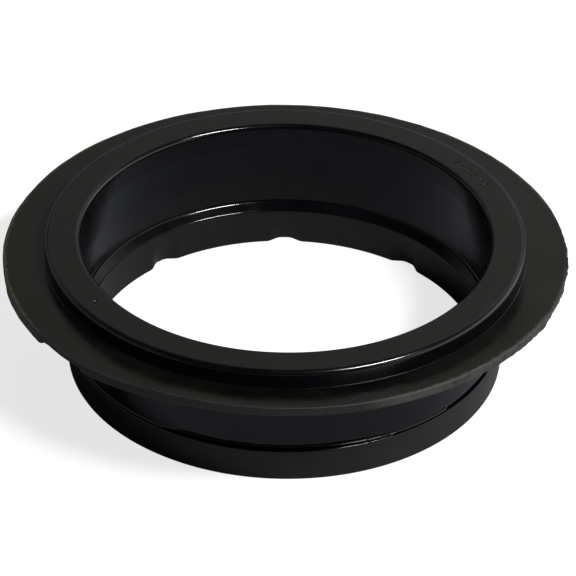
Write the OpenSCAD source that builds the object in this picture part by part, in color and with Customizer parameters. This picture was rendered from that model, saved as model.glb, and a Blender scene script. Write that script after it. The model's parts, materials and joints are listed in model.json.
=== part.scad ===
// Flange seal for a toilet outlet: a thin flange with a raised collar above it and a
// cylindrical skirt below it, closed by a thicker notched ring at the bottom.
// The part is turned about Z. It stands on the lower ring, with Z = 0 at the ring's bottom face.

/* [Flange] */
// Outer diameter of the flange
flange_d = 132; // [128:0.5:150]
// Thickness of the flange at its rim
flange_t = 2.2; // [1.6:0.1:3]
// Height of the flange's top face above the bottom face
flange_top_z = 28.7; // [24:0.1:40]

/* [Collar] */
// Outer diameter of the raised collar
collar_d = 112.4; // [108:0.1:120]
// Height of the collar above the flange
collar_h = 4.5; // [3:0.1:8]
// Rounding of the collar's lip, at the mouth and outside
lip_round = 1.2; // [0.4:0.1:1.8]
// Diameter of the bore at the collar's mouth
mouth_d = 95.8; // [95:0.1:96.5]

/* [Skirt] */
// Outer diameter of the skirt and of the lower ring, the size that enters the pipe
skirt_d = 103.2; // [102.5:0.1:105]
// Diameter that the bore widens to at the foot of the skirt
skirt_bore_d = 97; // [96.6:0.1:97.8]
// Height of the seam between the skirt and the lower ring
seam_z = 9.9; // [9:0.1:12]

/* [Lower ring] */
// Height of the groove left open around the seam
groove_h = 1.7; // [1:0.1:2.2]
// Depth of the groove
groove_depth = 1.3; // [0.6:0.1:1.6]
// Diameter of the ring's bore at its top
ring_bore_d = 93.4; // [93:0.1:95]
// Draft of the ring's bore, as the radius lost from top to bottom
ring_draft = 0.5; // [0:0.1:1]
// Number of notches around the ring's inner bottom edge
notch_count = 9; // [3:1:12]
// Depth of a notch into the ring's wall at the bottom face
notch_depth = 2; // [1:0.1:2.5]
// Width of a notch at its deepest
notch_floor_w = 4; // [2:0.5:6]
// Height at which a notch runs out into the wall
notch_h = 6; // [3:0.5:7]

/* [Edges] */
// Chamfer on the ring's shoulder and its bottom edges
edge = 0.4; // [0.2:0.1:0.6]

/* [Hidden] */
$fn = 180;
flange_r = flange_d / 2;
collar_r = collar_d / 2;
mouth_r = mouth_d / 2;
skirt_r = skirt_d / 2;
skirt_bore_r = skirt_bore_d / 2;
ring_bore_r = ring_bore_d / 2;
neck_r = skirt_r - groove_depth;
collar_top_z = flange_top_z + collar_h;
flange_low_z = flange_top_z - flange_t;
// The bore turns from straight to flared this far below the flange's top face
crease_z = flange_top_z - 0.9;
shoulder_z = seam_z - groove_h;
notch_flank = 40;
notch_first = 90;
overcut = 1;
lip_steps = 6;

// Points of a quarter round, from the angle start to start - 90.
function quarter(r, z, size, start) = [
    for (i = [0 : lip_steps])
        let (a = start - 90 * i / lip_steps)
        [r + size * cos(a), z + size * sin(a)]
];

// Collar, flange and skirt in one moulding. The bore is straight in the collar and
// flares slightly from the crease down to the seam. The collar's lip is rounded.
module flange_sleeve() {
    lip_z = collar_top_z - lip_round;
    color("#1b1c1d")
    rotate_extrude()
    polygon(concat(
        [[mouth_r, crease_z]],
        quarter(mouth_r + lip_round, lip_z, lip_round, 180),
        quarter(collar_r - lip_round, lip_z, lip_round, 90),
        [
            [collar_r, flange_top_z],
            [flange_r, flange_top_z],
            [flange_r, flange_low_z],
            [skirt_r, flange_low_z],
            [skirt_r, seam_z],
            [skirt_bore_r, seam_z]
        ]
    ));
}

// Section of the ring: a thick band, a shoulder, and a neck that butts against the skirt.
module ring_section() {
    polygon([
        [ring_bore_r - ring_draft + edge, 0],
        [skirt_r - edge, 0],
        [skirt_r, edge],
        [skirt_r, shoulder_z - edge],
        [skirt_r - edge, shoulder_z],
        [neck_r, shoulder_z],
        [neck_r, seam_z],
        [ring_bore_r + edge, seam_z],
        [ring_bore_r, seam_z - edge],
        [ring_bore_r - ring_draft, edge]
    ]);
}

// One notch: a wedge with sloping flanks, deepest at the bottom face and gone at notch_h.
module notch() {
    run = notch_depth + ring_draft + overcut;
    flare = run * tan(90 - notch_flank);
    translate([ring_bore_r - ring_draft - overcut, 0, 0])
    intersection() {
        translate([0, 0, -overcut])
        linear_extrude(notch_h + overcut)
        polygon([
            [0, -notch_floor_w / 2 - flare],
            [run, -notch_floor_w / 2],
            [run, notch_floor_w / 2],
            [0, notch_floor_w / 2 + flare]
        ]);
        rotate([90, 0, 0])
        linear_extrude(2 * notch_floor_w + 2 * flare, center = true)
        polygon([
            [0, -overcut],
            [run, -overcut],
            [run, 0],
            [overcut, notch_h],
            [0, notch_h]
        ]);
    }
}

// Lower ring, with its notches evenly spaced from the back.
module lower_ring() {
    color("#232423")
    difference() {
        rotate_extrude() ring_section();
        for (i = [0 : notch_count - 1])
            rotate(notch_first + i * 360 / notch_count) notch();
    }
}

flange_sleeve();
lower_ring();
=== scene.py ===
"""Rubber flange seal for a toilet outlet: the finished meshes, rubber finishes, studio and camera."""
import json
import logging
import math
import random
from dataclasses import dataclass, field
from enum import Enum
from typing import Callable

import bmesh
import bpy
from mathutils import Matrix, Vector


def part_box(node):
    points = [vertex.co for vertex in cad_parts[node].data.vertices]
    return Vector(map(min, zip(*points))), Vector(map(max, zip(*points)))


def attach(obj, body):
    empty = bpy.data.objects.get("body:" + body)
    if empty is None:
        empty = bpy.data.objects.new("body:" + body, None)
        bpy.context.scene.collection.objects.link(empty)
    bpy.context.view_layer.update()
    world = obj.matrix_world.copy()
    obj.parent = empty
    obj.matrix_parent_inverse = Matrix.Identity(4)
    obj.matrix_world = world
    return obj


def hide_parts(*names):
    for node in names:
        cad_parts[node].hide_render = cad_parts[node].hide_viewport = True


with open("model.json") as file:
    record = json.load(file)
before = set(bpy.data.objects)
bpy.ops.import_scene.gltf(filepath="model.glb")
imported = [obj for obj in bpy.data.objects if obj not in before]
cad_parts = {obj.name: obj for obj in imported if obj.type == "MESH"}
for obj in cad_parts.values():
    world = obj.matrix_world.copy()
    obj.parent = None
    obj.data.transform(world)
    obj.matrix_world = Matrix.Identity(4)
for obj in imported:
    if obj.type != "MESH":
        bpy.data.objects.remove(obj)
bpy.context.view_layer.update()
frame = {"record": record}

LOG = logging.getLogger("flange_seal")
MM = 0.001
# Points nearer than this count as being at the same place.
TOUCH = 0.01 * MM
BODY = "root"


def smoothstep(low: float, high: float, value: float) -> float:
    """Rise smoothly from 0 to 1.

    Args:
        low: Value at which the rise starts.
        high: Value at which it ends. It may be below low, for a fall.
        value: The value to place on the rise.

    Returns:
        The share of the rise, from 0 to 1.
    """
    share = min(max((value - low) / (high - low), 0.0), 1.0)
    return share * share * (3.0 - 2.0 * share)


def outward_at(degrees: float) -> Vector:
    """Unit vector that points straight out from the Z axis at an azimuth."""
    turn = math.radians(degrees)
    return Vector((math.cos(turn), math.sin(turn), 0.0))


def link_mesh(name: str, build: bmesh.types.BMesh) -> bpy.types.Object:
    """Turn a built mesh into an object of the scene, and free the build.

    Args:
        name: Name of the object and of its mesh.
        build: The finished build.

    Returns:
        The new object.
    """
    mesh = bpy.data.meshes.new(name)
    build.to_mesh(mesh)
    build.free()
    made = bpy.data.objects.new(name, mesh)
    bpy.context.scene.collection.objects.link(made)
    return made


@dataclass(frozen=True)
class Stretch:
    """A stretch of the ring between two azimuths, counted anticlockwise, that fades at its ends."""

    start: float
    end: float
    blend: float

    def weight(self, degrees: float) -> float:
        """Weight of the stretch at an azimuth.

        Args:
            degrees: Azimuth round the ring.

        Returns:
            1 inside the stretch, 0 outside it, and a smooth fade between.
        """
        half = ((self.end - self.start) % 360.0) / 2.0
        away = abs((degrees - (self.start + half) + 180.0) % 360.0 - 180.0)
        return smoothstep(half + self.blend, half, away)


# ---------------------------------------------------------------- sizes

@dataclass(frozen=True)
class SealSizes:
    """Main sizes of the seal, in metres. All but the flange's thickness come from the frame."""

    flange_r: float
    skirt_r: float
    mouth_r: float
    top_z: float
    flange_low_z: float
    seam_z: float
    flange_t: float = 2.2 * MM

    @property
    def flange_top(self) -> float:
        """Height of the flange's top face."""
        return self.flange_low_z + self.flange_t

    @classmethod
    def from_frame(cls) -> "SealSizes":
        """Read the sizes from the CAD boxes and the record's mounts.

        Returns:
            The seal's sizes.
        """
        mounts = {mount["name"]: mount for mount in frame["record"]["mounts"]}
        low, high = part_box("flange_sleeve")
        return cls(
            flange_r=high.x,
            skirt_r=mounts["skirt"]["dims"]["r_mm"] * MM,
            mouth_r=mounts["mouth"]["dims"]["r_mm"] * MM,
            top_z=high.z,
            flange_low_z=mounts["flange_underside"]["pos_m"][2],
            seam_z=low.z,
        )


# ---------------------------------------------------------------- turned meshes

class Surface(Enum):
    """Surfaces of the mouldings. Each has a finish of its own."""

    PRESSED = "pressed_face"
    POLISHED = "polished_wall"
    BORE = "satin_bore"
    RIM = "trimmed_rim"
    BAND = "matte_band"


@dataclass(frozen=True)
class Corner:
    """A corner of a turned outline, with the surface of the run that leaves it.

    The rounding takes that surface too, unless arc names another.
    """

    radius: float
    height: float
    fillet: float
    surface: Surface
    arc: Surface | None = None


@dataclass
class RingNoise:
    """Smooth random variation round a ring, the same on each run."""

    seed: int
    cells: int
    values: list[float] = field(default_factory=list)

    def __post_init__(self) -> None:
        """Draw one random value for each cell."""
        source = random.Random(self.seed)
        self.values = [source.uniform(-1.0, 1.0) for _ in range(self.cells)]

    def at(self, degrees: float) -> float:
        """Value at an azimuth, smooth between the cells.

        Args:
            degrees: Azimuth round the ring.

        Returns:
            The value, from -1 to 1.
        """
        place = (degrees % 360.0) / 360.0 * self.cells
        index = int(place)
        share = smoothstep(0.0, 1.0, place - index)
        first = self.values[index % self.cells]
        second = self.values[(index + 1) % self.cells]
        return first + (second - first) * share


@dataclass
class TurnedOutline:
    """Closed outline in radius and height that is turned into a ring.

    A rounded corner gets a step for each arc_step of its radius, and fillet_steps at least.
    Neighbouring roundings share the run between them, and leave fillet_gap of it straight.
    A run longer than shortest_split edge margins is divided into steps of about run_step.
    """

    corners: list[Corner]
    fillet_steps: int = 5
    arc_step: float = 0.14 * MM
    fillet_gap: float = 0.03
    run_step: float = 1.6 * MM
    edge_margin: float = 0.12 * MM
    shortest_split: float = 4.0

    def points(self) -> list[tuple[float, float, Surface]]:
        """Outline points with filleted corners and divided runs.

        Returns:
            (radius, height, surface) for each point. The surface is that of the
            stretch from this point to the next.
        """
        made: list[tuple[float, float, Surface]] = []
        count = len(self.corners)
        for index, corner in enumerate(self.corners):
            before = self.corners[index - 1]
            after = self.corners[(index + 1) % count]
            arc = self._fillet(before, corner, after)
            for place in arc[:-1]:
                made.append((place.x, place.y, corner.arc or corner.surface))
            following = self.corners[(index + 2) % count]
            target = self._fillet(corner, after, following)[0]
            made.extend(self._run(arc[-1], target, corner.surface))
        return made

    def _fillet(self, before: Corner, corner: Corner, after: Corner) -> list[Vector]:
        """Round one corner.

        Args:
            before: The corner before it.
            corner: The corner to round.
            after: The corner after it.

        Returns:
            The points of the arc, in order, or the corner's own point where it is sharp.
        """
        here = Vector((corner.radius, corner.height))
        if corner.fillet <= 0.0:
            return [here]
        back = Vector((before.radius, before.height)) - here
        ahead = Vector((after.radius, after.height)) - here
        most = 1.0 - self.fillet_gap
        back_room = most * (corner.fillet / (corner.fillet + before.fillet)) * back.length
        ahead_room = most * (corner.fillet / (corner.fillet + after.fillet)) * ahead.length
        back, ahead = back.normalized(), ahead.normalized()
        half = back.angle(ahead) / 2.0
        reach = min(corner.fillet / math.tan(half), back_room, ahead_room)
        radius = reach * math.tan(half)
        centre = here + (back + ahead).normalized() * (radius / math.sin(half))
        first = here + back * reach - centre
        last = here + ahead * reach - centre
        sweep = first.angle_signed(last)
        steps = max(self.fillet_steps, round(radius / self.arc_step))
        return [centre + Matrix.Rotation(-sweep * step / steps, 2) @ first
                for step in range(steps + 1)]

    def _run(self, start: Vector, end: Vector, surface: Surface) -> list[tuple[float, float, Surface]]:
        """Divide a straight run, with a support point near either end if it is long enough.

        Args:
            start: Where the run starts.
            end: Where it ends. This point is left to the next rounding.
            surface: Surface of the run.

        Returns:
            (radius, height, surface) for each point.
        """
        length = (end - start).length
        shares = [0.0]
        if length > self.shortest_split * self.edge_margin:
            margin = self.edge_margin / length
            steps = max(1, round(length / self.run_step))
            shares.append(margin)
            shares.extend(step / steps for step in range(1, steps))
            shares.append(1.0 - margin)
        made = []
        for share in shares:
            place = start.lerp(end, share)
            made.append((place.x, place.y, surface))
        return made


# Moves an outline point: takes its azimuth, radius and height, and gives its new radius and height.
Warp = Callable[[float, float, float], tuple[float, float]]


def turn_outline(name: str, outline: TurnedOutline, segments: int, warp: Warp,
                 surfaces: tuple[Surface, ...]) -> bpy.types.Object:
    """Turn an outline about Z into a closed mesh of quads.

    Args:
        name: Name of the new piece.
        outline: The outline to turn.
        segments: Number of divisions round the ring.
        warp: Shapes the turned ring, point by point.
        surfaces: Surfaces of the piece, one for each material slot.

    Returns:
        The new object, smooth shaded, with its faces' slots set.
    """
    points = outline.points()
    build = bmesh.new()
    rings = []
    for segment in range(segments):
        degrees = 360.0 * segment / segments
        turn = math.radians(degrees)
        ring = []
        for radius, height, _ in points:
            radius, height = warp(degrees, radius, height)
            ring.append(build.verts.new((radius * math.cos(turn), radius * math.sin(turn), height)))
        rings.append(ring)
    for segment in range(segments):
        here, beyond = rings[segment], rings[(segment + 1) % segments]
        for index, (_, _, surface) in enumerate(points):
            after = (index + 1) % len(points)
            face = build.faces.new((here[index], beyond[index], beyond[after], here[after]))
            face.material_index = surfaces.index(surface)
            face.smooth = True
    bmesh.ops.recalc_face_normals(build, faces=build.faces)
    return link_mesh(name, build)


# ---------------------------------------------------------------- shader groups

class NodeKit:
    """Short ways to add and join nodes in one node tree."""

    def __init__(self, tree: bpy.types.NodeTree) -> None:
        """Hold the tree that nodes are added to."""
        self.tree = tree

    def add(self, kind: str, **settings: object) -> bpy.types.Node:
        """Add a node.

        Args:
            kind: Blender's name for the node type.
            **settings: Attributes to set on it.

        Returns:
            The new node.
        """
        node = self.tree.nodes.new(kind)
        for key, value in settings.items():
            setattr(node, key, value)
        return node

    def feed(self, socket: bpy.types.NodeSocket, value: object) -> None:
        """Join a socket to an output, or set its value.

        Args:
            socket: The socket to feed.
            value: An output, or a plain value.
        """
        if isinstance(value, bpy.types.NodeSocket):
            self.tree.links.new(value, socket)
        else:
            socket.default_value = value

    def math(self, operation: str, *values: object, clamp: bool = False) -> bpy.types.NodeSocket:
        """Add a Math node.

        Args:
            operation: Name of the operation.
            *values: Numbers or outputs for its inputs.
            clamp: Whether the result is held between 0 and 1.

        Returns:
            Its output.
        """
        node = self.add("ShaderNodeMath", operation=operation, use_clamp=clamp)
        for index, value in enumerate(values):
            self.feed(node.inputs[index], value)
        return node.outputs[0]

    def span(self, value: object, low: float, high: float,
             to_low: float = 0.0, to_high: float = 1.0) -> bpy.types.NodeSocket:
        """Map a value smoothly from one span to another and hold it there.

        Args:
            value: Number or output to map.
            low: Value that gives to_low.
            high: Value that gives to_high. It may be below low.
            to_low: Result at low.
            to_high: Result at high.

        Returns:
            The mapped value.
        """
        node = self.add("ShaderNodeMapRange", interpolation_type="SMOOTHSTEP")
        for index, number in enumerate((value, low, high, to_low, to_high)):
            self.feed(node.inputs[index], number)
        return node.outputs[0]

    def noise(self, vector: object, scale: object, detail: float = 3.0,
              roughness: float = 0.55) -> bpy.types.NodeSocket:
        """Add a noise texture.

        Args:
            vector: Place that it is read at.
            scale: Its cells per metre.
            detail: Its number of finer layers.
            roughness: Weight of the finer layers.

        Returns:
            Its factor.
        """
        node = self.add("ShaderNodeTexNoise")
        self.feed(node.inputs["Vector"], vector)
        self.feed(node.inputs["Scale"], scale)
        self.feed(node.inputs["Detail"], detail)
        self.feed(node.inputs["Roughness"], roughness)
        return node.outputs["Fac"]

    def mix_colour(self, factor: object, first: object, second: object) -> bpy.types.NodeSocket:
        """Mix two colours.

        Args:
            factor: Share of the second colour.
            first: The first colour.
            second: The second colour.

        Returns:
            The mixed colour.
        """
        node = self.add("ShaderNodeMix", data_type="RGBA")
        self.feed(node.inputs["Factor"], factor)
        self.feed(node.inputs[6], first)
        self.feed(node.inputs[7], second)
        return node.outputs[2]

    def cells(self, vector: object, scale: object) -> bpy.types.NodeSocket:
        """Add a cell texture.

        Args:
            vector: Place that it is read at.
            scale: Its cells per metre.

        Returns:
            The distance to the nearest cell's centre, in cells.
        """
        node = self.add("ShaderNodeTexVoronoi", feature="F1")
        self.feed(node.inputs["Vector"], vector)
        self.feed(node.inputs["Scale"], scale)
        return node.outputs["Distance"]

    def parts(self, vector: object) -> bpy.types.NodeOutputs:
        """Split a vector.

        Args:
            vector: The vector.

        Returns:
            Its X, Y and Z, as three outputs.
        """
        node = self.add("ShaderNodeSeparateXYZ")
        self.feed(node.inputs[0], vector)
        return node.outputs

    def root_sum(self, first: object, second: object) -> bpy.types.NodeSocket:
        """Work out the length of a right triangle's long side.

        Args:
            first: Length of one short side.
            second: Length of the other.

        Returns:
            The long side's length.
        """
        squares = self.math("ADD", self.math("POWER", first, 2.0), self.math("POWER", second, 2.0))
        return self.math("SQRT", squares)

    def vector_math(self, operation: str, first: object, second: object = None) -> bpy.types.Node:
        """Add a Vector Math node.

        Args:
            operation: Name of the operation.
            first: Its first vector.
            second: Its second vector, where it takes one.

        Returns:
            The node.
        """
        node = self.add("ShaderNodeVectorMath", operation=operation)
        self.feed(node.inputs[0], first)
        if second is not None:
            self.feed(node.inputs[1], second)
        return node


@dataclass
class EffectGroup:
    """A shader effect that several finishes share, built once as a node group.

    Inputs are given as a socket type and a default, and outputs as a socket type.
    """

    name: str
    inputs: dict[str, tuple[str, object]]
    outputs: dict[str, str]
    wire: Callable[[NodeKit, dict, dict], None]

    def tree(self) -> bpy.types.NodeTree:
        """Build the group, unless it stands already.

        Returns:
            The group's node tree.
        """
        found = bpy.data.node_groups.get(self.name)
        if found is not None:
            return found
        tree = bpy.data.node_groups.new(self.name, "ShaderNodeTree")
        for label, (kind, default) in self.inputs.items():
            socket = tree.interface.new_socket(label, in_out="INPUT", socket_type=kind)
            if default is not None:
                socket.default_value = default
        for label, kind in self.outputs.items():
            tree.interface.new_socket(label, in_out="OUTPUT", socket_type=kind)
        kit = NodeKit(tree)
        entry, leave = kit.add("NodeGroupInput"), kit.add("NodeGroupOutput")
        self.wire(kit, entry.outputs, leave.inputs)
        return tree

    def place(self, kit: NodeKit, **values: object) -> bpy.types.Node:
        """Place the group in a material.

        Args:
            kit: The material's node kit.
            **values: Input values, with underscores for spaces in their names.

        Returns:
            The group node.
        """
        node = kit.add("ShaderNodeGroup", node_tree=self.tree())
        for key, value in values.items():
            kit.feed(node.inputs[key.replace("_", " ")], value)
        return node


FLOAT, COORD = "NodeSocketFloat", "NodeSocketVector"
# A cosine low enough that an edge's paling starts at every azimuth.
ALL_ROUND = -1.2


def wire_grain(kit: NodeKit, given: dict, out: dict) -> None:
    """Wire fine moulded grain: a soft orange peel, a sharp grain and rare pits.

    Args:
        kit: The group's node kit.
        given: The group's inputs.
        out: The group's outputs.
    """
    # The peel is coarser than the grain, and the cells of the pits are coarser still.
    peel = kit.noise(given["Vector"], kit.math("MULTIPLY", given["Scale"], 0.35), 2.0)
    grain = kit.noise(given["Vector"], given["Scale"], 4.0, 0.65)
    cells = kit.cells(given["Vector"], kit.math("MULTIPLY", given["Scale"], 0.16))
    pits = kit.math("MULTIPLY", kit.math("SUBTRACT", kit.span(cells, 0.02, 0.16), 1.0), given["Pits"])
    height = kit.math("ADD", kit.math("MULTIPLY", peel, 0.6), kit.math("MULTIPLY", grain, 0.4))
    kit.feed(out["Height"], kit.math("ADD", height, pits))


def wire_clouds(kit: NodeKit, given: dict, out: dict) -> None:
    """Wire the slow cloudy variation that release agent and handling leave.

    Args:
        kit: The group's node kit.
        given: The group's inputs.
        out: The group's outputs.
    """
    # Broad clouds with clouds a fifth of their size among them.
    broad = kit.noise(given["Vector"], given["Scale"], 4.0, 0.6)
    small = kit.noise(given["Vector"], kit.math("MULTIPLY", given["Scale"], 5.0), 3.0, 0.5)
    mixed = kit.math("ADD", kit.math("MULTIPLY", broad, 0.65), kit.math("MULTIPLY", small, 0.35))
    kit.feed(out["Cloud"], kit.span(mixed, 0.36, 0.66))


def wire_pale_edge(kit: NodeKit, given: dict, out: dict) -> None:
    """Wire a broken-up paler band round one edge, found by its radius and height.

    It serves wear, and the painted reflection along the ring's foot. The band is kept where
    the cosine of the angle from Toward is above From.

    Args:
        kit: The group's node kit.
        given: The group's inputs.
        out: The group's outputs.
    """
    parts = kit.parts(given["Vector"])
    across = kit.root_sum(parts[0], parts[1])
    side = kit.math("SUBTRACT", across, given["Radius"])
    rise = kit.math("MULTIPLY", kit.math("SUBTRACT", parts[2], given["Height"]),
                    given["Height Weight"])
    gap = kit.root_sum(side, rise)
    near = kit.math("SUBTRACT", 1.0, kit.math("DIVIDE", gap, given["Reach"]), clamp=True)
    # Noise breaks the band up, and none is left past its reach.
    broken = kit.noise(given["Vector"], given["Scale"], 5.0, 0.7)
    paling = kit.math("ADD", near, kit.math("MULTIPLY", kit.math("SUBTRACT", broken, 0.5), 1.6))
    mask = kit.math("MULTIPLY", kit.span(paling, 0.35, 0.95),
                    kit.math("MULTIPLY", near, 3.0, clamp=True))
    turned = kit.vector_math("DOT_PRODUCT", given["Vector"], given["Toward"])
    facing = kit.math("DIVIDE", turned.outputs["Value"], across)
    part = kit.span(facing, given["From"], kit.math("ADD", given["From"], 0.12))
    kit.feed(out["Mask"], kit.math("MULTIPLY", mask, part))


def wire_dust(kit: NodeKit, given: dict, out: dict) -> None:
    """Wire sparse specks and a thin film on faces that look up.

    Args:
        kit: The group's node kit.
        given: The group's inputs.
        out: The group's outputs.
    """
    normal = kit.add("ShaderNodeNewGeometry").outputs["Normal"]
    upward = kit.span(kit.parts(normal)[2], 0.2, 0.95)
    film = kit.span(kit.noise(given["Vector"], 160.0, 4.0, 0.65), 0.42, 0.75)
    speck = kit.span(kit.cells(given["Vector"], 420.0), 0.10, 0.05)
    both = kit.math("ADD", kit.math("MULTIPLY", film, 0.5), speck, clamp=True)
    kit.feed(out["Mask"], kit.math("MULTIPLY", kit.math("MULTIPLY", both, upward), given["Amount"]))


def wire_nick(kit: NodeKit, given: dict, out: dict) -> None:
    """Wire a small slanting nick, longer than it is wide, at one place.

    Args:
        kit: The group's node kit.
        given: The group's inputs.
        out: The group's outputs.
    """
    away = kit.vector_math("SUBTRACT", given["Vector"], given["Centre"])
    turned = kit.add("ShaderNodeVectorRotate", rotation_type="Z_AXIS")
    kit.feed(turned.inputs["Vector"], away.outputs["Vector"])
    kit.feed(turned.inputs["Angle"], math.radians(-55.0))
    squeezed = kit.vector_math("MULTIPLY", turned.outputs["Vector"], (0.45, 1.0, 0.0))
    reach = kit.vector_math("LENGTH", squeezed.outputs["Vector"])
    share = kit.math("DIVIDE", reach.outputs["Value"], given["Radius"])
    kit.feed(out["Mask"], kit.span(share, 1.0, 0.1))


def wire_turning(kit: NodeKit, given: dict, out: dict) -> None:
    """Wire faint rings copied from the turned mould, along radius and height.

    Args:
        kit: The group's node kit.
        given: The group's inputs.
        out: The group's outputs.
    """
    parts = kit.parts(given["Vector"])
    path = kit.math("ADD", kit.root_sum(parts[0], parts[1]), parts[2])
    lane = kit.add("ShaderNodeTexNoise", noise_dimensions="1D")
    kit.feed(lane.inputs["W"], path)
    kit.feed(lane.inputs["Scale"], given["Scale"])
    kit.feed(lane.inputs["Detail"], 2.0)
    kit.feed(out["Height"], lane.outputs["Fac"])


GRAIN = EffectGroup(
    "moulded_grain",
    {"Vector": (COORD, None), "Scale": (FLOAT, 2400.0), "Pits": (FLOAT, 0.5)},
    {"Height": FLOAT}, wire_grain)
CLOUDS = EffectGroup(
    "handling_clouds", {"Vector": (COORD, None), "Scale": (FLOAT, 45.0)},
    {"Cloud": FLOAT}, wire_clouds)
PALE_EDGE = EffectGroup(
    "edge_wear",
    {"Vector": (COORD, None), "Radius": (FLOAT, 0.066), "Height": (FLOAT, 0.028),
     "Height Weight": (FLOAT, 1.0), "Reach": (FLOAT, 0.002), "Scale": (FLOAT, 800.0),
     "Toward": (COORD, (1.0, 0.0, 0.0)), "From": (FLOAT, ALL_ROUND)},
    {"Mask": FLOAT}, wire_pale_edge)
DUST = EffectGroup(
    "dust_film", {"Vector": (COORD, None), "Amount": (FLOAT, 0.5)},
    {"Mask": FLOAT}, wire_dust)
NICK = EffectGroup(
    "handling_nick",
    {"Vector": (COORD, None), "Centre": (COORD, (0.0, 0.0, 0.0)), "Radius": (FLOAT, 0.0006)},
    {"Mask": FLOAT}, wire_nick)
TURNING = EffectGroup(
    "turning_rings", {"Vector": (COORD, None), "Scale": (FLOAT, 3000.0)},
    {"Height": FLOAT}, wire_turning)


# ---------------------------------------------------------------- rubber finishes

@dataclass(frozen=True)
class PaleEdge:
    """An edge painted paler. Wear pales most of them; the pale line along the ring's foot is a
    painted reflection.

    It has a radius, a height, a reach and a strength. A height weight of 0 ignores the
    height. The paling covers the whole ring, or only spread degrees either side of azimuth.
    """

    radius: float
    height: float
    reach: float
    strength: float
    height_weight: float = 1.0
    azimuth: float = 0.0
    spread: float = 180.0

    def place(self, kit: NodeKit, coord: bpy.types.NodeSocket) -> bpy.types.NodeSocket:
        """Place the pale edge group for this edge.

        Args:
            kit: The material's node kit.
            coord: Place on the piece.

        Returns:
            The edge's mask, times the edge's strength.
        """
        start = math.cos(math.radians(self.spread)) if self.spread < 180.0 else ALL_ROUND
        group = PALE_EDGE.place(kit, Vector=coord, Radius=self.radius, Height=self.height,
                           Height_Weight=self.height_weight, Reach=self.reach,
                           Toward=outward_at(self.azimuth), From=start)
        return kit.math("MULTIPLY", group.outputs["Mask"], self.strength)


@dataclass(frozen=True)
class Nick:
    """A small nick in a face: its place, its radius and its depth."""

    centre: tuple[float, float, float]
    radius: float
    depth: float


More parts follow.
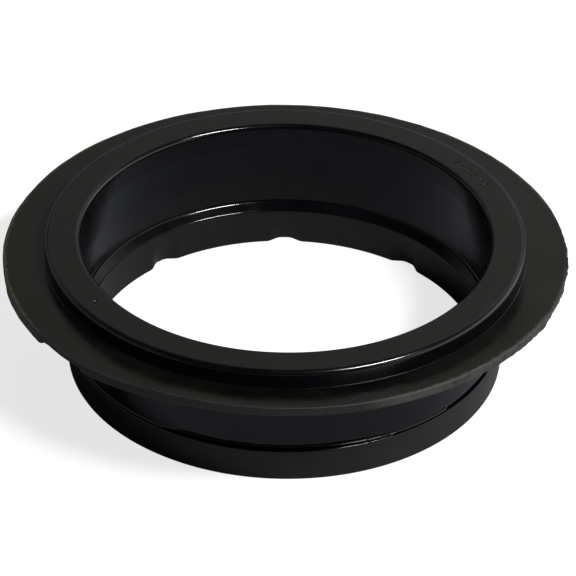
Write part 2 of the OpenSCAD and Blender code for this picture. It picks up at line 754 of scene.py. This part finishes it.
@dataclass(frozen=True)
class RubberFinish:
    """One surface of the black rubber.

    The grain's scale is in cells per metre, and the depths of the grain and of the turning
    rings are in metres. Bloom, pale edges and dust roughen the surface by cloud_roughness,
    wear_roughness and dust_roughness where they are full. The bloom's colour is the
    rubber's times bloom_gain, plus bloom_lift.
    """

    name: str
    colour: tuple[float, float, float]
    pale_colour: tuple[float, float, float]
    roughness: float
    cloud_roughness: float
    specular: float
    grain_scale: float
    grain_depth: float
    pits: float
    turning_depth: float
    dust: float
    pale_edges: tuple[PaleEdge, ...] = ()
    warm_edges: tuple[PaleEdge, ...] = ()
    nicks: tuple[Nick, ...] = ()
    warm_colour: tuple[float, float, float] = (0.034, 0.026, 0.015)
    dust_colour: tuple[float, float, float] = (0.030, 0.028, 0.024)
    bloom_gain: float = 1.7
    bloom_lift: float = 0.0003
    wear_roughness: float = 0.22
    dust_roughness: float = 0.3

    def material(self) -> bpy.types.Material:
        """Build the material, unless it stands already.

        Returns:
            The material.
        """
        found = bpy.data.materials.get(self.name)
        if found is not None:
            return found
        material = bpy.data.materials.new(self.name)
        material.use_nodes = True
        kit = NodeKit(material.node_tree)
        shader = material.node_tree.nodes["Principled BSDF"]
        coord = kit.add("ShaderNodeTexCoord").outputs["Object"]
        cloud = CLOUDS.place(kit, Vector=coord).outputs["Cloud"]
        # Pale edges: wear, and on the band the painted reflection along the ring's foot.
        paling = self._pale_edge_mask(kit, coord, self.pale_edges)
        warm = self._pale_edge_mask(kit, coord, self.warm_edges)
        dust = DUST.place(kit, Vector=coord, Amount=self.dust).outputs["Mask"]
        self._colour(kit, shader, cloud, paling, warm, dust)
        self._roughness(kit, shader, cloud, paling, dust)
        self._relief(kit, shader, coord)
        shader.inputs["Specular IOR Level"].default_value = self.specular
        return material

    @staticmethod
    def _pale_edge_mask(kit: NodeKit, coord: bpy.types.NodeSocket, edges: tuple[PaleEdge, ...]) -> object:
        """Combine a set of pale edges.

        Args:
            kit: The material's node kit.
            coord: Place on the piece.
            edges: The pale edges.

        Returns:
            The strongest mask of any edge, or 0 where there are no edges.
        """
        total = 0.0
        for edge in edges:
            total = kit.math("MAXIMUM", total, edge.place(kit, coord))
        return total

    def _colour(self, kit: NodeKit, shader: bpy.types.Node, cloud: object, paling: object,
                warm: object, dust: object) -> None:
        """Feed the base colour: rubber, its cloudy bloom, pale edges, warm tan and dust.

        Wear pales most edges; the pale line along the ring's foot is a painted reflection.

        Args:
            kit: The material's node kit.
            shader: The material's shader.
            cloud: Mask of the bloom.
            paling: Mask of the pale edges, wear and the painted reflection along the ring's foot.
            warm: Mask of the warm tan on the rim.
            dust: Mask of the dust.
        """
        bloom = tuple(part * self.bloom_gain + self.bloom_lift for part in self.colour)
        shade = (*self.colour, 1.0)
        for mask, colour in ((cloud, bloom), (paling, self.pale_colour), (warm, self.warm_colour),
                             (dust, self.dust_colour)):
            shade = kit.mix_colour(mask, shade, (*colour, 1.0))
        kit.feed(shader.inputs["Base Color"], shade)

    def _roughness(self, kit: NodeKit, shader: bpy.types.Node, cloud: object, paling: object,
                   dust: object) -> None:
        """Feed the roughness, higher in the bloom, on pale edges and under dust.

        Args:
            kit: The material's node kit.
            shader: The material's shader.
            cloud: Mask of the bloom.
            paling: Mask of the pale edges, wear and the painted reflection along the ring's foot.
            dust: Mask of the dust.
        """
        rough = self.roughness
        for mask, amount in ((cloud, self.cloud_roughness), (paling, self.wear_roughness),
                             (dust, self.dust_roughness)):
            rough = kit.math("ADD", rough, kit.math("MULTIPLY", mask, amount), clamp=True)
        kit.feed(shader.inputs["Roughness"], rough)

    def _relief(self, kit: NodeKit, shader: bpy.types.Node, coord: object) -> None:
        """Feed the normal with grain, the mould's turning rings and the nicks.

        Args:
            kit: The material's node kit.
            shader: The material's shader.
            coord: Place on the piece.
        """
        grain = GRAIN.place(kit, Vector=coord, Scale=self.grain_scale, Pits=self.pits)
        rings = TURNING.place(kit, Vector=coord)
        height = kit.math("ADD", kit.math("MULTIPLY", grain.outputs["Height"], self.grain_depth),
                          kit.math("MULTIPLY", rings.outputs["Height"], self.turning_depth))
        for nick in self.nicks:
            group = NICK.place(kit, Vector=coord, Centre=nick.centre, Radius=nick.radius)
            dent = kit.math("MULTIPLY", group.outputs["Mask"], nick.depth)
            height = kit.math("SUBTRACT", height, dent)
        bump = kit.add("ShaderNodeBump")
        kit.feed(bump.inputs["Strength"], 1.0)
        kit.feed(bump.inputs["Distance"], 1.0)
        kit.feed(bump.inputs["Height"], height)
        kit.feed(shader.inputs["Normal"], bump.outputs["Normal"])


class FinishBook:
    """The rubber's finishes, with their pale edges placed from the seal's sizes."""

    def __init__(self, sizes: SealSizes) -> None:
        """Make a finish for each surface.

        Args:
            sizes: Main sizes of the seal.
        """
        rim_edges = (
            PaleEdge(sizes.flange_r, sizes.flange_top, 1.5 * MM, 0.14, height_weight=0.0),
            PaleEdge(sizes.flange_r - 0.2 * MM, sizes.flange_top, 1.35 * MM, 0.95,
                     height_weight=0.0, azimuth=320.0, spread=38.0),
        )
        collar_edge = PaleEdge(56.0 * MM, sizes.top_z, 0.9 * MM, 0.12)
        # A warm tan tint on the rim round the back and left.
        warm_tan_rim = PaleEdge(sizes.flange_r, sizes.flange_top, 1.6 * MM, 0.8,
                               height_weight=0.0, azimuth=115.0, spread=100.0)
        clouded_bore = PaleEdge(sizes.mouth_r, sizes.seam_z + 2.0 * MM, 15.0 * MM, 0.16)
        # A pale line painted round the ring's outer foot: a painted reflection of the floor in its
        # rounded bottom edge.
        foot_painted_reflection = PaleEdge(sizes.skirt_r, 0.0, 0.7 * MM, 0.8)
        nicks = (Nick(self._on_collar(sizes, 215.0, 52.4 * MM), 0.5 * MM, 0.48 * MM),
                 Nick(self._on_collar(sizes, 212.6, 52.0 * MM), 0.28 * MM, 0.10 * MM))
        self.finishes = {
            Surface.PRESSED: RubberFinish(
                name="pressed_rubber", colour=(0.0012, 0.0012, 0.0010),
                pale_colour=(0.030, 0.0285, 0.0255), roughness=0.20, cloud_roughness=0.08,
                specular=0.17, grain_scale=2600.0, grain_depth=0.030 * MM, pits=0.5,
                turning_depth=0.002 * MM, dust=0.07, pale_edges=(*rim_edges, collar_edge),
                warm_edges=(warm_tan_rim,), nicks=nicks),
            Surface.POLISHED: RubberFinish(
                name="polished_rubber", colour=(0.0008, 0.0009, 0.0013),
                pale_colour=(0.012, 0.011, 0.010), roughness=0.10, cloud_roughness=0.07,
                specular=0.26, grain_scale=1500.0, grain_depth=0.0012 * MM, pits=0.2,
                turning_depth=0.0005 * MM, dust=0.05),
            Surface.BORE: RubberFinish(
                name="satin_bore_rubber", colour=(0.0007, 0.0008, 0.0010),
                pale_colour=(0.013, 0.0125, 0.0115), roughness=0.13, cloud_roughness=0.09,
                specular=0.185, grain_scale=1900.0, grain_depth=0.006 * MM, pits=0.3,
                turning_depth=0.0012 * MM, dust=0.04, pale_edges=(clouded_bore,)),
            Surface.RIM: RubberFinish(
                name="trimmed_rubber", colour=(0.0036, 0.0035, 0.0031),
                pale_colour=(0.030, 0.0288, 0.0262), roughness=0.50, cloud_roughness=0.12,
                specular=0.23, grain_scale=1300.0, grain_depth=0.055 * MM, pits=0.6,
                turning_depth=0.0, dust=0.12, pale_edges=rim_edges, warm_edges=(warm_tan_rim,)),
            # On the band, the pale colour is only the painted reflection along the foot.
            Surface.BAND: RubberFinish(
                name="matte_rubber", colour=(0.0021, 0.0019, 0.0014),
                pale_colour=(0.030, 0.0288, 0.0262), roughness=0.42, cloud_roughness=0.10,
                specular=0.30, grain_scale=2300.0, grain_depth=0.042 * MM, pits=0.5,
                turning_depth=0.002 * MM, dust=0.08, pale_edges=(foot_painted_reflection,)),
        }

    @staticmethod
    def _on_collar(sizes: SealSizes, degrees: float, radius: float) -> tuple[float, float, float]:
        """Find a point on the collar's face.

        Args:
            sizes: Main sizes of the seal.
            degrees: Azimuth of the point.
            radius: Its distance from the Z axis.

        Returns:
            The point.
        """
        place = outward_at(degrees) * radius
        return (place.x, place.y, sizes.top_z)

    def dress(self, piece: bpy.types.Object, surfaces: tuple[Surface, ...]) -> None:
        """Give a piece the materials of its surfaces, in slot order."""
        for surface in surfaces:
            piece.data.materials.append(self.finishes[surface].material())


# ---------------------------------------------------------------- sleeve

@dataclass
class FlangeSleeve:
    """Collar, flange and skirt: the upper moulding.

    The bore has a fine parting bead at the crease. Thin rubber bends: the flange rises at
    the front and droops at the back. flex_root is how much steeper the bend is at the
    collar than a straight cone. The rim's wear reaches rim_reach in from the edge.
    """

    sizes: SealSizes
    collar_r: float = 56.2 * MM
    crease_drop: float = 0.9 * MM
    crease_inset: float = 0.12 * MM
    crease_fillet: float = 0.10 * MM
    bead_height: float = 0.018 * MM
    bead_half_w: float = 0.20 * MM
    bead_fillet: float = 0.08 * MM
    seam_bore_r: float = 48.47 * MM
    seam_bore_fillet: float = 0.08 * MM
    seam_skirt_fillet: float = 0.10 * MM
    mouth_fillet: float = 1.15 * MM
    collar_fillet: float = 1.25 * MM
    collar_root_fillet: float = 0.14 * MM
    rim_fillet: float = 0.28 * MM
    skirt_root_fillet: float = 0.9 * MM
    front: Stretch = Stretch(254.0, 318.0, 33.0)
    front_rise: float = 1.9 * MM
    back: Stretch = Stretch(20.0, 160.0, 30.0)
    back_droop: float = 0.3 * MM
    flex_root: float = 1.6
    rim_reach: float = 2.6 * MM
    rim_margin: float = 0.2 * MM
    rim_top: float = 0.5 * MM
    torn: Stretch = Stretch(306.0, 4.0, 7.0)
    nipped: Stretch = Stretch(335.0, 344.0, 1.6)
    thinned: Stretch = Stretch(214.6, 226.0, 0.9)
    flap: Stretch = Stretch(196.0, 213.2, 3.0)
    segments: int = 720
    surfaces: tuple[Surface, ...] = (Surface.PRESSED, Surface.POLISHED, Surface.BORE, Surface.RIM)

    def __post_init__(self) -> None:
        """Draw the rim's random shapes."""
        self.rim_wave = RingNoise(seed=11, cells=34)
        self.rim_ripple = RingNoise(seed=12, cells=150)
        self.rim_jag = RingNoise(seed=13, cells=330)
        self.low_jag = RingNoise(seed=14, cells=260)
        self.low_wave = RingNoise(seed=15, cells=48)
        self.height_jag = RingNoise(seed=16, cells=210)

    def outline(self) -> TurnedOutline:
        """Lay out the sleeve, from the seam up the bore and back down the outside.

        Returns:
            The sleeve's outline.
        """
        s = self.sizes
        crease_r = s.mouth_r - self.crease_inset
        crease_z = s.flange_top - self.crease_drop
        bead_r = crease_r - self.bead_height
        return TurnedOutline([
            Corner(self.seam_bore_r, s.seam_z, self.seam_bore_fillet, Surface.BORE),
            Corner(crease_r, crease_z - self.bead_half_w, self.crease_fillet, Surface.BORE),
            Corner(bead_r, crease_z, self.bead_fillet, Surface.BORE),
            Corner(crease_r, crease_z + self.bead_half_w, self.crease_fillet, Surface.BORE),
            Corner(s.mouth_r, s.top_z, self.mouth_fillet, Surface.PRESSED, Surface.POLISHED),
            Corner(self.collar_r, s.top_z, self.collar_fillet, Surface.POLISHED),
            Corner(self.collar_r, s.flange_top, self.collar_root_fillet, Surface.PRESSED),
            Corner(s.flange_r, s.flange_top, self.rim_fillet, Surface.RIM),
            Corner(s.flange_r, s.flange_low_z, self.rim_fillet, Surface.POLISHED),
            Corner(s.skirt_r, s.flange_low_z, self.skirt_root_fillet, Surface.POLISHED),
            Corner(s.skirt_r, s.seam_z, self.seam_skirt_fillet, Surface.POLISHED),
        ])

    def warp(self, degrees: float, radius: float, height: float) -> tuple[float, float]:
        """Shape the rim: hand-trimmed all round, torn at the front right, thin at the left.

        Args:
            degrees: Azimuth round the ring.
            radius: Radius of the outline point.
            height: Height of the outline point.

        Returns:
            The point's radius and height on the finished rim.
        """
        s = self.sizes
        height += self._flex(degrees, radius)
        reach = smoothstep(s.flange_r - self.rim_reach, s.flange_r - self.rim_margin, radius)
        if reach == 0.0:
            return radius, height
        # What is done to the lower edge alone fades out where the flange is bent up.
        low = smoothstep(s.flange_top - self.rim_top, s.flange_low_z + self.rim_margin, height)
        torn, nipped = self.torn.weight(degrees), self.nipped.weight(degrees)
        thin, flap = self.thinned.weight(degrees), self.flap.weight(degrees)
        # The sizes of the wear below are in millimetres.
        wave = 0.10 * self.rim_wave.at(degrees) + 0.05 * self.rim_ripple.at(degrees)
        jag = 0.16 * self.rim_jag.at(degrees) + 0.13 * self.rim_ripple.at(degrees + 40.0)
        low_jag = 0.22 * self.low_jag.at(degrees) + 0.30 * self.low_wave.at(degrees)
        shift = wave + torn * jag + low * torn * (low_jag - 0.20)
        shift += low * (-0.60 * nipped - 0.45 * thin + 0.20 * flap)
        lift = torn * 0.10 * self.height_jag.at(degrees) * (0.4 + 0.6 * low)
        lift += low * (0.35 * thin + 0.20 * nipped - 0.25 * flap)
        return radius + reach * shift * MM, height + reach * lift * MM

    def _flex(self, degrees: float, radius: float) -> float:
        """Bend the thin flange up at the front, and slightly down at the back.

        Args:
            degrees: Azimuth round the ring.
            radius: Radius of the outline point.

        Returns:
            How far the point rises.
        """
        share = min(max((radius - self.collar_r) / (self.sizes.flange_r - self.collar_r), 0.0), 1.0)
        bend = share * (self.flex_root - (self.flex_root - 1.0) * share)
        rise = self.front_rise * self.front.weight(degrees)
        return bend * (rise - self.back_droop * self.back.weight(degrees))

    def build(self, finishes: FinishBook) -> bpy.types.Object:
        """Turn the sleeve, dress it and put it in the frame.

        Args:
            finishes: The rubber's finishes.

        Returns:
            The finished piece.
        """
        piece = turn_outline("sleeve_moulding", self.outline(), self.segments, self.warp,
                             self.surfaces)
        finishes.dress(piece, self.surfaces)
        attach(piece, BODY)
        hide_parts("flange_sleeve")
        return piece


# ---------------------------------------------------------------- lower ring

@dataclass
class LowerRing:
    """The thicker notched ring that closes the skirt.

    Its foot rises against the bore above a sloping ledge, and its hidden root goes into the
    sleeve's wall. The notches fade out upward. notch_floor and notch_half are degrees from
    a notch's middle: to where its floor ends, and to where its flank does. The groove round
    the neck is partly filled at two places. step gives the azimuths where the filling on
    the right starts, is whole, starts to fall and has ended.
    """

    sizes: SealSizes
    bore_r: float = 46.2 * MM
    neck_r: float = 50.3 * MM
    neck_fillet: float = 0.4 * MM
    shoulder_drop: float = 1.85 * MM
    shoulder_fillet: float = 0.32 * MM
    bottom_fillet: float = 0.6 * MM
    foot_r: float = 48.46 * MM
    foot_rise: float = 1.1 * MM
    foot_fillet: float = 1.2 * MM
    foot_root: float = 0.45 * MM
    foot_wall: float = 0.75 * MM
    foot_lean: float = 0.04 * MM
    ledge_dip: float = 0.62 * MM
    ledge_fillet: float = 0.5 * MM
    notch_count: int = 9
    notch_first: float = 90.4
    notch_depth: float = 1.7 * MM
    notch_floor: float = 1.0
    notch_half: float = 5.6
    notch_height: float = 8.6 * MM
    notch_spread: float = 3.6 * MM
    notch_margin: float = 0.4 * MM
    notch_power: float = 1.5
    step: tuple[float, float, float, float] = (284.0, 305.0, 316.6, 317.6)
    step_fill: float = 0.55 * MM
    shallow: Stretch = Stretch(196.0, 236.0, 10.0)
    shallow_fill: float = 0.75 * MM
    groove_margin: float = 0.3 * MM
    segments: int = 720
    surfaces: tuple[Surface, ...] = (Surface.BAND, Surface.POLISHED)

    def outline(self) -> TurnedOutline:
        """Lay out the ring, from its bottom face up the outside and back down the bore.

        Returns:
            The ring's outline.
        """
        s = self.sizes
        shoulder_z = s.seam_z - self.shoulder_drop
        root_r = self.foot_r + self.foot_root
        foot_z = s.seam_z + self.foot_rise
        foot_top = foot_z + self.foot_wall
        return TurnedOutline([
            Corner(self.bore_r, 0.0, self.bottom_fillet, Surface.BAND),
            Corner(s.skirt_r, 0.0, self.bottom_fillet, Surface.BAND),
            Corner(s.skirt_r, shoulder_z, self.shoulder_fillet, Surface.POLISHED),
            Corner(self.neck_r, shoulder_z, self.neck_fillet, Surface.POLISHED),
            Corner(self.neck_r, s.seam_z, 0.0, Surface.POLISHED),
            Corner(root_r, s.seam_z, 0.0, Surface.POLISHED),
            Corner(root_r, foot_top, 0.0, Surface.POLISHED),
            Corner(self.foot_r - self.foot_lean, foot_top, 0.0, Surface.POLISHED),
            Corner(self.foot_r, foot_z, self.foot_fillet, Surface.POLISHED),
            Corner(self.bore_r, s.seam_z - self.ledge_dip, self.ledge_fillet, Surface.BAND,
                   Surface.POLISHED),
        ])

    def notch_share(self, degrees: float) -> float:
        """Find how deep the notches are at an azimuth.

        Args:
            degrees: Azimuth round the ring.

        Returns:
            The share of a notch's full depth, from 0 to 1.
        """
        pitch = 360.0 / self.notch_count
        away = abs((degrees - self.notch_first + pitch / 2.0) % pitch - pitch / 2.0)
        return smoothstep(self.notch_half, self.notch_floor, away)

    def groove_fill(self, degrees: float) -> float:
        """Find how much of the groove's depth is filled at an azimuth.

        Args:
            degrees: Azimuth round the ring.

        Returns:
            The depth filled.
        """
        start, whole, fall, end = self.step
        step = smoothstep(start, whole, degrees) * smoothstep(end, fall, degrees)
        return self.step_fill * step + self.shallow_fill * self.shallow.weight(degrees)

    def warp(self, degrees: float, radius: float, height: float) -> tuple[float, float]:
        """Sink the notches into the bore wall, and make the groove shallower in places.

        Args:
            degrees: Azimuth round the ring.
            radius: Radius of the outline point.
            height: Height of the outline point.

        Returns:
            The point's radius and height on the finished ring.
        """
        s = self.sizes
        notch_r = self.bore_r + self.notch_spread
        if radius < notch_r and height < self.notch_height:
            left = (self.notch_height - height) / (self.notch_height - self.notch_margin)
            fade = min(1.0, left) ** self.notch_power
            near = smoothstep(notch_r, self.bore_r + self.notch_margin, radius)
            radius += self.notch_depth * fade * near * self.notch_share(degrees)
        groove_r = s.skirt_r - self.groove_margin
        groove_low = s.seam_z - self.shoulder_drop
        if (groove_low - TOUCH < height < s.seam_z + TOUCH
                and self.neck_r - TOUCH <= radius < groove_r):
            radius += self.groove_fill(degrees) * smoothstep(groove_r, self.neck_r, radius)
        return radius, height

    def build(self, finishes: FinishBook) -> bpy.types.Object:
        """Turn the ring, dress it and put it in the frame.

        Args:
            finishes: The rubber's finishes.

        Returns:
            The finished piece.
        """
        piece = turn_outline("notched_ring", self.outline(), self.segments, self.warp,
                             self.surfaces)
        finishes.dress(piece, self.surfaces)
        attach(piece, BODY)
        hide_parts("lower_ring")
        return piece


# ---------------------------------------------------------------- moulded marks

@dataclass
class MouldMarks:
    """A short row of plain raised bars and dots on the collar's face.

    A bar's sides slope in: its width is side_share of bar_width at side_rise of its rise,
    and top_share of it at the top. Its foot is sunk below the face.
    """

    sizes: SealSizes
    row_r: float = 52.3 * MM
    first_degrees: float = 25.0
    pitch_degrees: float = 2.6
    bar_lengths: tuple[float, ...] = (2.2 * MM, 0.7 * MM, 2.2 * MM, 2.2 * MM, 0.7 * MM, 2.2 * MM)
    bar_width: float = 0.55 * MM
    rise: float = 0.16 * MM
    sink: float = 0.04 * MM
    side_share: float = 0.86
    side_rise: float = 0.6
    top_share: float = 0.62
    rounds: int = 10

    def _add_bar(self, build: bmesh.types.BMesh, degrees: float, length: float) -> None:
        """Add one raised bar with round ends and sloping sides.

        Args:
            build: Mesh being built.
            degrees: Azimuth of the bar.
            length: Length along the radius.
        """
        outward = outward_at(degrees)
        along = outward_at(degrees + 90.0)
        centre = outward * self.row_r
        straight = max(length - self.bar_width, 0.0) / 2.0
        levels = ((1.0, -self.sink), (self.side_share, self.side_rise * self.rise),
                  (self.top_share, self.rise))
        loops = []
        for share, level in levels:
            loop = []
            for step in range(2 * self.rounds):
                angle = math.pi * (step + 0.5) / self.rounds
                reach = self.bar_width / 2.0 * share
                end = straight if math.cos(angle) > 0.0 else -straight
                spot = centre + outward * (end + reach * math.cos(angle))
                spot += along * (reach * math.sin(angle))
                loop.append(build.verts.new((spot.x, spot.y, self.sizes.top_z + level)))
            loops.append(loop)
        for lower, upper in zip(loops, loops[1:]):
            for step in range(len(lower)):
                after = (step + 1) % len(lower)
                face = build.faces.new((lower[step], lower[after], upper[after], upper[step]))
                face.smooth = True
        build.faces.new(loops[-1])
        build.faces.new(loops[0][::-1])

    def build(self, finishes: FinishBook) -> bpy.types.Object:
        """Build the row of marks, dress it and put it in the frame.

        Args:
            finishes: The rubber's finishes.

        Returns:
            The finished piece.
        """
        build = bmesh.new()
        for index, length in enumerate(self.bar_lengths):
            self._add_bar(build, self.first_degrees + index * self.pitch_degrees, length)
        bmesh.ops.recalc_face_normals(build, faces=build.faces)
        piece = link_mesh("collar_marks", build)
        finishes.dress(piece, (Surface.PRESSED,))
        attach(piece, BODY)
        return piece


# ---------------------------------------------------------------- studio

@dataclass
class Studio:
    """Pale floor, soft light and the camera.

    The camera sees a bright floor: seen_floor is its colour and floor_glow its own light.
    All other light meets the dimmer lit_floor. The camera looks at a point on the Z axis,
    from camera_side to the right of it and camera_rise above its line of sight.
    """

    sizes: SealSizes
    floor_size: float = 8.0
    seen_floor: float = 0.26
    floor_fleck: float = 0.985
    floor_glow: float = 0.76
    lit_floor: tuple[float, float, float] = (0.230, 0.243, 0.274)
    room_colour: tuple[float, float, float] = (1.0, 0.985, 0.945)
    key_azimuth: float = 319.0
    key_elevation: float = 50.0
    key_distance: float = 1.1
    key_size: tuple[float, float] = (0.38, 0.12)
    key_power: float = 24.0
    key_colour: tuple[float, float, float] = (1.0, 0.99, 0.97)
    lens_mm: float = 193.71
    aim_height: float = 28.4 * MM
    camera_distance: float = 0.72574
    camera_elevation: float = 34.162
    camera_roll: float = 0.77
    camera_side: float = 0.00066
    camera_rise: float = -0.00917

    def floor(self) -> None:
        """Build the pale floor that the seal stands on."""
        build = bmesh.new()
        bmesh.ops.create_grid(build, x_segments=8, y_segments=8, size=self.floor_size / 2.0)
        floor = link_mesh("studio_floor", build)
        material = bpy.data.materials.new("studio_paper")
        material.use_nodes = True
        kit = NodeKit(material.node_tree)
        shader = material.node_tree.nodes["Principled BSDF"]
        fibre = kit.noise(kit.add("ShaderNodeTexCoord").outputs["Object"], 900.0, 3.0)
        seen = kit.add("ShaderNodeLightPath").outputs["Is Camera Ray"]
        bright = kit.mix_colour(fibre, (self.seen_floor * self.floor_fleck,) * 3 + (1.0,),
                                (self.seen_floor,) * 3 + (1.0,))
        kit.feed(shader.inputs["Base Color"],
                 kit.mix_colour(seen, (*self.lit_floor, 1.0), bright))
        kit.feed(shader.inputs["Emission Color"],
                 kit.mix_colour(seen, (0.0, 0.0, 0.0, 1.0), (self.floor_glow,) * 3 + (1.0,)))
        kit.feed(shader.inputs["Emission Strength"], 1.0)
        kit.feed(shader.inputs["Roughness"], 0.9)
        kit.feed(shader.inputs["Specular IOR Level"], 0.1)
        floor.data.materials.append(material)

    def room(self) -> None:
        """Light the room: a bright wall behind the seal and low panels at its sides."""
        world = bpy.data.worlds.new("studio_room")
        bpy.context.scene.world = world
        world.use_nodes = True
        kit = NodeKit(world.node_tree)
        x, y, z = kit.parts(kit.add("ShaderNodeTexCoord").outputs["Generated"])
        # The wall is brighter to the right, and dimmer low down.
        wall = kit.math("MULTIPLY", kit.span(y, 0.15, 0.80, 0.04, 0.88),
                        kit.span(z, 0.24, 0.50, 0.25, 1.0))
        wall = kit.math("MULTIPLY", wall, kit.span(x, -0.30, 0.55, 0.45, 1.15))
        # The right panel is far brighter than the left, and both dim upward.
        panels = kit.math("ADD", kit.span(x, 0.52, 0.95, 0.0, 2.9),
                          kit.span(x, -0.50, -0.95, 0.0, 0.42))
        panels = kit.math("MULTIPLY", panels, kit.span(z, 0.70, 0.05, 0.12, 1.0))
        background = world.node_tree.nodes["Background"]
        kit.feed(background.inputs["Color"], (*self.room_colour, 1.0))
        kit.feed(background.inputs["Strength"], kit.math("ADD", wall, panels))

    def key_light(self) -> None:
        """Hang the key light at the front right, facing the seal's middle."""
        data = bpy.data.lights.new("key_light", "AREA")
        data.shape = "RECTANGLE"
        data.size, data.size_y = self.key_size
        data.energy = self.key_power
        data.color = self.key_colour
        light = bpy.data.objects.new("key_light", data)
        bpy.context.scene.collection.objects.link(light)
        elevation = math.radians(self.key_elevation)
        away = outward_at(self.key_azimuth) * math.cos(elevation)
        away.z = math.sin(elevation)
        light.location = Vector((0.0, 0.0, self.sizes.top_z / 2.0)) + away * self.key_distance
        light.rotation_euler = away.to_track_quat("Z", "Y").to_euler()

    def camera(self) -> None:
        """Place the camera, in front of the seal and above it."""
        data = bpy.data.cameras.new("studio_camera")
        data.sensor_width = 36.0
        data.lens = self.lens_mm
        data.clip_start = 0.01
        data.clip_end = 50.0
        camera = bpy.data.objects.new("studio_camera", data)
        bpy.context.scene.collection.objects.link(camera)
        elevation = math.radians(self.camera_elevation)
        roll = math.radians(self.camera_roll)
        right = Vector((1.0, 0.0, 0.0))
        up = Vector((0.0, math.sin(elevation), math.cos(elevation)))
        look = Vector((0.0, math.cos(elevation), -math.sin(elevation)))
        rolled_right = right * math.cos(roll) + up * math.sin(roll)
        rolled_up = up * math.cos(roll) - right * math.sin(roll)
        place = Vector((0.0, 0.0, self.aim_height)) - look * self.camera_distance
        place += right * self.camera_side + up * self.camera_rise
        turned = Matrix((rolled_right, rolled_up, -look)).transposed().to_4x4()
        camera.matrix_world = Matrix.Translation(place) @ turned
        bpy.context.scene.camera = camera

    def build(self) -> None:
        """Set up the camera, the floor, the room and the key light."""
        self.camera()
        self.floor()
        self.room()
        self.key_light()
        bpy.context.scene.view_settings.view_transform = "Standard"


def main() -> None:
    """Build the seal and its studio, and report each piece."""
    logging.basicConfig(level=logging.INFO, format="%(name)s: %(message)s")
    sizes = SealSizes.from_frame()
    Studio(sizes).build()
    finishes = FinishBook(sizes)
    for part in (FlangeSleeve(sizes), LowerRing(sizes), MouldMarks(sizes)):
        piece = part.build(finishes)
        LOG.info("%s: %d faces", piece.name, len(piece.data.polygons))


if __name__ == "__main__":
    main()
